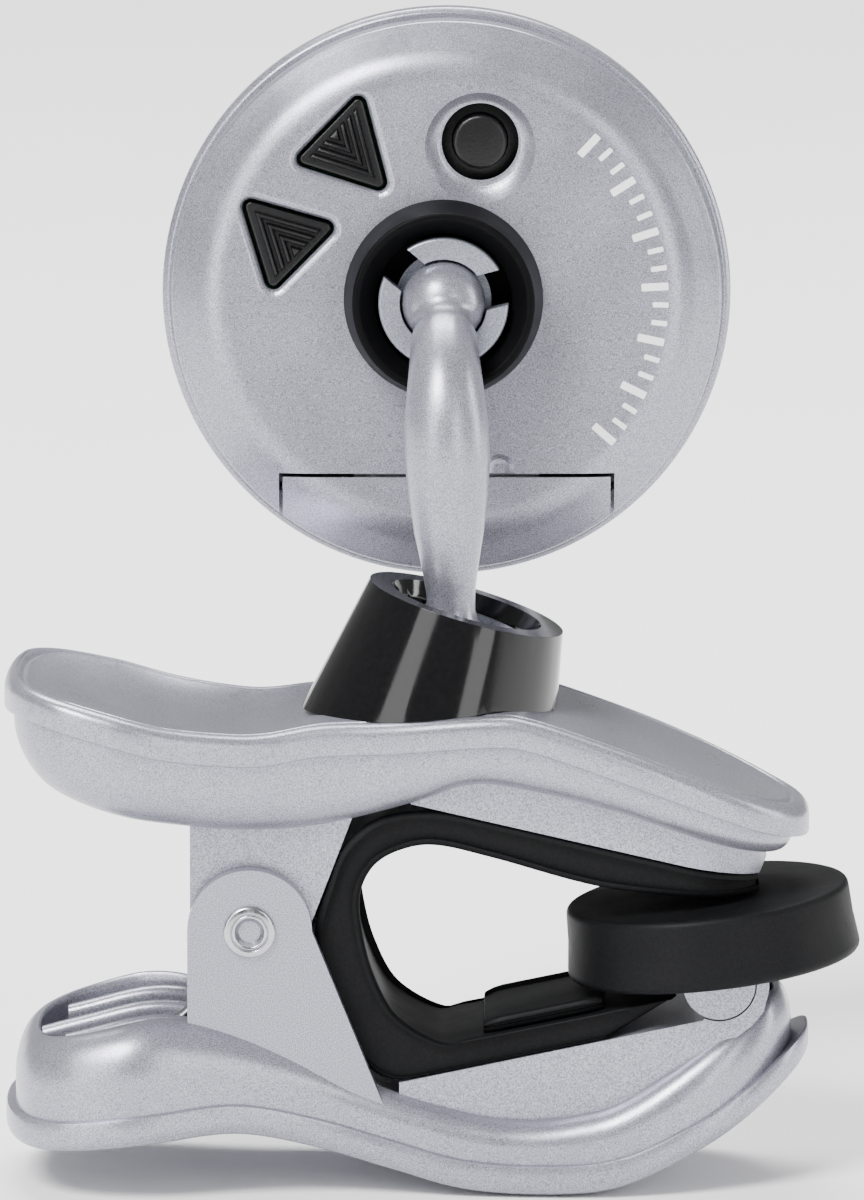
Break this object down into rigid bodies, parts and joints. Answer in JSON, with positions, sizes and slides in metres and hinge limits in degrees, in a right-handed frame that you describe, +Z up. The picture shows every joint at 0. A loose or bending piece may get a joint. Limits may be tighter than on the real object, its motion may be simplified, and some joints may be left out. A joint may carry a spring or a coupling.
{
  "type": "clip-on tuner",
  "caption": "Clip-on instrument tuner: round display head on a curved double-ball stem, above a sprung clip with rubber-lined jaws and a swivelling pad.",
  "frame": {"origin": "middle of the swivel pad's top face, where the clip grips a headstock", "axes": "+X out of the jaws, +Y the way the display faces, +Z up towards the head"},
  "size_m": [0.0663, 0.0371, 0.088],
  "materials": {
    "silver_plastic": "satin",
    "socket_plastic": "satin",
    "black_gloss_plastic": "gloss",
    "black_rubber": "matte",
    "button_rubber": "matte",
    "steel": "satin",
    "clear_lens": "gloss",
    "display_grey": "matte",
    "board_green": "satin",
    "brass": "satin",
    "switch_black": "matte"
  },
  "bodies": {
    "upper_lever": {"upper_lever_cover": "silver_plastic", "upper_lever_body": "silver_plastic", "upper_jaw_carrier": "silver_plastic", "clip_socket_collar": "black_gloss_plastic", "liner_upper": "black_rubber", "liner_bend": "black_rubber", "torsion_spring": "steel"},
    "lower_lever": {"lower_lever_cover": "silver_plastic", "lower_lever_body": "silver_plastic", "lower_jaw_carrier": "silver_plastic", "liner_lower": "black_rubber", "hinge_pin": "steel"},
    "pad": {"swivel_pad": "black_rubber", "pad_pivot_barrel": "silver_plastic"},
    "clip_socket": {"clip_socket_cup": "socket_plastic"},
    "stem": {"ball_stem": "silver_plastic"},
    "head_socket": {"head_socket_cup": "socket_plastic"},
    "head": {"head_back_shell": "silver_plastic", "head_front_bezel": "silver_plastic", "head_socket_collar": "black_gloss_plastic", "display_lens": "clear_lens", "display_panel": "display_grey", "circuit_board": "board_green", "board_screws": "steel", "piezo_sensor": "brass", "coin_cell": "steel", "contact_positive": "steel", "contact_negative": "steel", "tact_switches": "switch_black"},
    "door": {"battery_door": "silver_plastic"},
    "upper_key": {"upper_button": "button_rubber"},
    "lower_key": {"lower_button": "button_rubber"},
    "power_key": {"power_button": "button_rubber"}
  },
  "joints": [
    {"name": "clip_open", "type": "hinge", "parent": "upper_lever", "child": "lower_lever", "pos_m": [-0.035, 0, -0.0013], "axis": [0, 1, 0], "range_deg": [0, 34], "stiffness_Nm_per_rad": 0.22, "springref_deg": -68.75, "deforming": ["liner_bend", "torsion_spring"]},
    {"name": "pad_tilt", "type": "hinge", "parent": "lower_lever", "child": "pad", "pos_m": [0.00116, 0, -0.00575], "axis": [0, 1, 0], "range_deg": [0, 15]},
    {"name": "clip_ball_spin", "type": "hinge", "parent": "upper_lever", "child": "clip_socket", "pos_m": [-0.0194, 0, 0.0188], "axis": [0.2756, 0, 0.9613], "continuous": true},
    {"name": "clip_ball_tilt", "type": "hinge", "parent": "clip_socket", "child": "stem", "pos_m": [-0.0194, 0, 0.0188], "axis": [0, 1, 0], "range_deg": [-20, 50]},
    {"name": "head_ball_tilt", "type": "hinge", "parent": "stem", "child": "head_socket", "pos_m": [-0.02008, 0.0084, 0.04485], "axis": [1, 0, 0], "range_deg": [-1, 70]},
    {"name": "head_ball_spin", "type": "hinge", "parent": "head_socket", "child": "head", "pos_m": [-0.02008, 0.0084, 0.04485], "axis": [0, 0.9962, -0.0872], "continuous": true},
    {"name": "upper_button_press", "type": "slide", "parent": "head", "child": "upper_key", "axis": [0, 0.9962, -0.0872], "range_m": [0, 0.0005], "stiffness_N_per_m": 900, "springref_m": -0.0006},
    {"name": "lower_button_press", "type": "slide", "parent": "head", "child": "lower_key", "axis": [0, 0.9962, -0.0872], "range_m": [0, 0.0005], "stiffness_N_per_m": 900, "springref_m": -0.0006},
    {"name": "power_button_press", "type": "slide", "parent": "head", "child": "power_key", "axis": [0, 0.9962, -0.0872], "range_m": [0, 0.0005], "stiffness_N_per_m": 900, "springref_m": -0.0006},
    {"name": "battery_door_slide", "type": "slide", "parent": "head", "child": "door", "axis": [0, -0.0872, -0.9962], "range_m": [0, 0.0075]}
  ]
}
